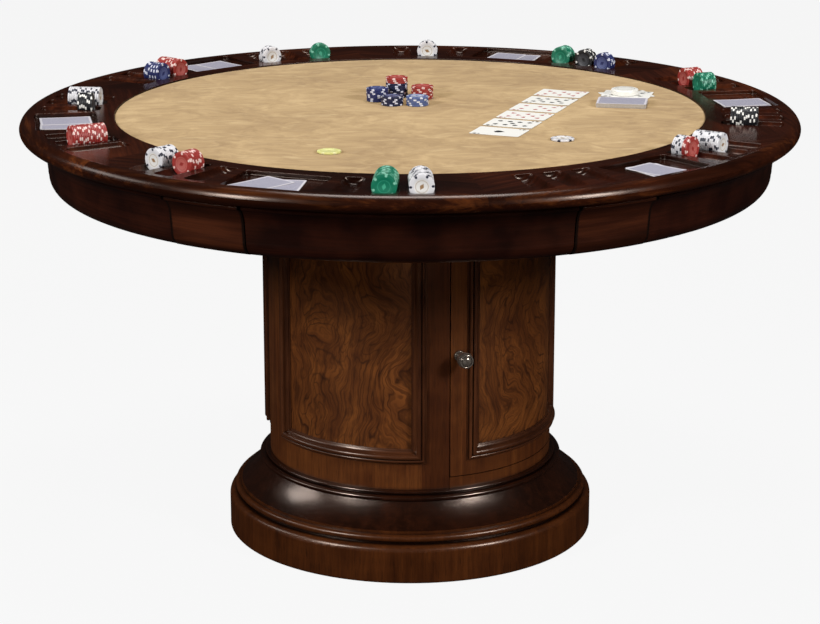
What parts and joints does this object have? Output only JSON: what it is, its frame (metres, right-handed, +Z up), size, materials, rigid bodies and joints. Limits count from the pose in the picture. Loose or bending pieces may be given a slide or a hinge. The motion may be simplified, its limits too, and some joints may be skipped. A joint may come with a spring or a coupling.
{
  "type": "round card-game table",
  "caption": "Round card-game table with a felt field, chip troughs and card trays in its rim, on a drum pedestal with a hinged cabinet door, set with chips and cards.",
  "frame": {"origin": "on the floor at the vertical axis of the round table", "axes": "+Z up, -Y towards the viewer's side with the left edge of the door, +X to the right"},
  "size_m": [1.3722, 1.3722, 0.8025],
  "materials": {
    "rim_wood": "gloss lacquer over dark mahogany stain",
    "apron_wood": "gloss lacquer over dark mahogany stain",
    "frame_wood": "satin-gloss lacquer over medium brown stain",
    "burl_wood": "satin-gloss lacquer over burl veneer",
    "moulding_wood": "gloss lacquer over brown stain with dark glaze in the hollows",
    "base_wood": "gloss lacquer over brown stain",
    "board_wood": "plain stained plywood",
    "felt": "tan microsuede",
    "chip": "edge-spotted game chips in several colours",
    "card": "coated playing card",
    "disc_plastic": "white dealer disc",
    "knob_metal": "dark antique finish",
    "hinge_brass": "aged brass",
    "steel": "zinc plated",
    "catch_plastic": "brown moulded",
    "glide_plastic": "nylon"
  },
  "bodies": {
    "table": {"rim_segment_1": "rim_wood", "apron_panel_1": "apron_wood", "rim_segment_2": "rim_wood", "apron_panel_2": "apron_wood", "rim_segment_3": "rim_wood", "apron_panel_3": "apron_wood", "rim_segment_4": "rim_wood", "apron_panel_4": "apron_wood", "rim_segment_5": "rim_wood", "apron_panel_5": "apron_wood", "rim_segment_6": "rim_wood", "apron_panel_6": "apron_wood", "playing_field_board": "board_wood", "sub_top_board": "board_wood", "pedestal_top_plate": "board_wood", "top_battens": "board_wood", "cabinet_floor": "board_wood", "cabinet_shelf": "board_wood", "felt_cloth": "felt", "apron_blocks": "apron_wood", "wide_stiles": "frame_wood", "door_posts": "frame_wood", "drum_rails": "frame_wood", "drum_top_rail": "frame_wood", "burl_panel_1": "burl_wood", "panel_moulding_1": "moulding_wood", "burl_panel_2": "burl_wood", "panel_moulding_2": "moulding_wood", "burl_panel_3": "burl_wood", "panel_moulding_3": "moulding_wood", "plinth_ring": "base_wood", "base_board": "base_wood", "base_flare_ring": "base_wood", "foot_bead_ring": "base_wood", "top_bolts": "steel", "shelf_pins": "steel", "hinge_leaves_post": "hinge_brass", "hinge_pins": "hinge_brass", "magnetic_catch": "catch_plastic", "floor_glides": "glide_plastic"},
    "door": {"door_stiles": "frame_wood", "door_rails": "frame_wood", "door_burl_panel": "burl_wood", "door_moulding": "moulding_wood", "door_knob": "knob_metal", "knob_rosette": "knob_metal", "knob_screw": "steel", "hinge_leaves_door": "hinge_brass", "strike_plate": "steel"},
    "chip_set_1": {"player_chips_1": "chip"},
    "chip_set_2": {"player_chips_2": "chip"},
    "chip_set_3": {"player_chips_3": "chip"},
    "chip_set_4": {"player_chips_4": "chip"},
    "chip_set_5": {"player_chips_5": "chip"},
    "chip_set_6": {"player_chips_6": "chip"},
    "pot": {"pot_chips": "chip"},
    "cards": {"tray_cards": "card", "row_cards": "card", "card_deck": "card", "dealer_disc": "disc_plastic"}
  },
  "joints": [
    {"name": "door_hinge", "type": "hinge", "parent": "table", "child": "door", "pos_m": [0.25259, 0.06958, 0.4], "axis": [0, 0, 1], "range_deg": [0, 110]},
    {"name": "chip_set_1_lift", "type": "slide", "parent": "table", "child": "chip_set_1", "axis": [0, 0, 1], "range_m": [0, 0.06]},
    {"name": "chip_set_2_lift", "type": "slide", "parent": "table", "child": "chip_set_2", "axis": [0, 0, 1], "range_m": [0, 0.06]},
    {"name": "chip_set_3_lift", "type": "slide", "parent": "table", "child": "chip_set_3", "axis": [0, 0, 1], "range_m": [0, 0.06]},
    {"name": "chip_set_4_lift", "type": "slide", "parent": "table", "child": "chip_set_4", "axis": [0, 0, 1], "range_m": [0, 0.06]},
    {"name": "chip_set_5_lift", "type": "slide", "parent": "table", "child": "chip_set_5", "axis": [0, 0, 1], "range_m": [0, 0.06]},
    {"name": "chip_set_6_lift", "type": "slide", "parent": "table", "child": "chip_set_6", "axis": [0, 0, 1], "range_m": [0, 0.06]},
    {"name": "pot_lift", "type": "slide", "parent": "table", "child": "pot", "axis": [0, 0, 1], "range_m": [0, 0.06]},
    {"name": "cards_lift", "type": "slide", "parent": "table", "child": "cards", "axis": [0, 0, 1], "range_m": [0, 0.06]}
  ]
}
